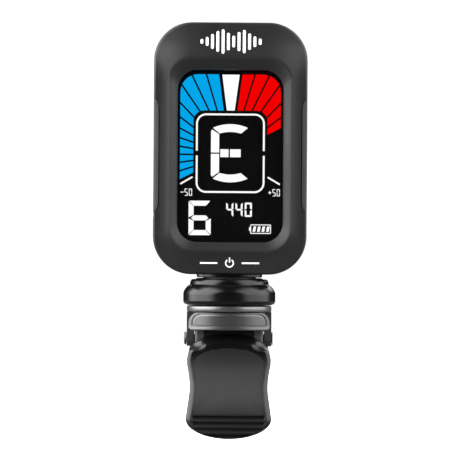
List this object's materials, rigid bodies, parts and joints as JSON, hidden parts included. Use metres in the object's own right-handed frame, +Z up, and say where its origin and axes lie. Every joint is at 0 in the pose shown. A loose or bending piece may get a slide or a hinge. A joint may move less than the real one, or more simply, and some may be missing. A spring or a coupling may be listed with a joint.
{
  "type": "clip-on tuner",
  "caption": "Clip-on tuner: rectangular display head that swivels and tilts on a yoke, held by a spring crocodile clip with rubber jaw pads.",
  "frame": {"origin": "middle of the upper jaw pad's grip face", "axes": "+Z up from the clip to the head, -Y the way the display faces, +Y the way the jaws point, +X to the right of someone reading the display"},
  "size_m": [0.029, 0.039, 0.0785],
  "materials": {
    "case_plastic": "fine satin texture",
    "gloss_plastic": "gloss black",
    "grey_plastic": "satin dark grey",
    "button_rubber": "matt",
    "pad_rubber": "matt, ribbed",
    "lens_acrylic": "polished, smoked",
    "lcd_glass": "polished",
    "light_guide_acrylic": "frosted",
    "silicone": "striped zebra strip",
    "circuit_board": "solder mask",
    "chip_package": "moulded epoxy",
    "steel": "plain",
    "black_steel": "black oxide",
    "cell_steel": "bright can",
    "plated_contact": "gold plated",
    "piezo_brass": "rolled",
    "nylon": "natural",
    "cable_sheath": "matt"
  },
  "bodies": {
    "clip": {"front_lever": "gloss_plastic", "upper_jaw_pad": "pad_rubber", "piezo_sensor": "piezo_brass", "sensor_cable": "cable_sheath", "auto_on_switch": "steel", "jaw_cover": "gloss_plastic", "clip_pin": "black_steel", "pin_retainer": "black_steel", "tilt_washer_left": "nylon", "tilt_washer_right": "nylon", "torsion_spring": "steel"},
    "rear_lever": {"rear_lever": "gloss_plastic", "lower_jaw_pad": "pad_rubber"},
    "auto_on_plunger": {"auto_on_plunger": "nylon"},
    "yoke": {"yoke": "grey_plastic", "yoke_cover": "grey_plastic", "swivel_collar": "gloss_plastic", "friction_washer": "nylon"},
    "head": {"front_cover": "case_plastic", "rear_cover": "case_plastic", "display_lens": "lens_acrylic", "lcd_panel": "lcd_glass", "light_guide": "light_guide_acrylic", "lcd_connector": "silicone", "main_board": "circuit_board", "main_chip": "chip_package", "crystal_can": "steel", "coin_cell": "cell_steel", "battery_contact_negative": "plated_contact", "battery_contact_positive": "plated_contact", "power_switch": "steel", "mode_switch": "steel", "cover_screw_1": "black_steel", "cover_screw_2": "black_steel", "cover_screw_3": "black_steel", "cover_screw_4": "black_steel", "head_cable": "cable_sheath", "swivel_shaft": "gloss_plastic", "shaft_nut": "steel"},
    "battery_door": {"battery_door": "case_plastic"},
    "power_button": {"power_button": "button_rubber"},
    "mode_button": {"mode_button": "button_rubber"}
  },
  "joints": [
    {"name": "clip_open", "type": "hinge", "parent": "clip", "child": "rear_lever", "pos_m": [0, -0.018, 0.004], "axis": [-1, 0, 0], "range_deg": [0, 40], "stiffness_Nm_per_rad": 0.06, "springref_deg": -57.3, "deforming": ["torsion_spring"]},
    {"name": "auto_on", "type": "slide", "parent": "clip", "child": "auto_on_plunger", "axis": [0, 0, -1], "range_m": [0, 0.0006]},
    {"name": "head_tilt", "type": "hinge", "parent": "clip", "child": "yoke", "pos_m": [0, -0.018, 0.004], "axis": [1, 0, 0], "range_deg": [-30, 30]},
    {"name": "head_swivel", "type": "hinge", "parent": "yoke", "child": "head", "pos_m": [0, -0.018, 0.014], "axis": [0, 0, 1], "range_deg": [-165, 165]},
    {"name": "battery_door_twist", "type": "hinge", "parent": "head", "child": "battery_door", "pos_m": [0, -0.0135, 0.045], "axis": [0, 1, 0], "range_deg": [0, 30]},
    {"name": "power_press", "type": "slide", "parent": "head", "child": "power_button", "axis": [0, -1, 0], "range_m": [0, 0.00035], "stiffness_N_per_m": 20},
    {"name": "mode_press", "type": "slide", "parent": "head", "child": "mode_button", "axis": [0, -1, 0], "range_m": [0, 0.00035], "stiffness_N_per_m": 20}
  ],
  "couplings": [
    {"joint": "auto_on", "follows": "clip_open", "m_per_rad": 0.00085}
  ]
}
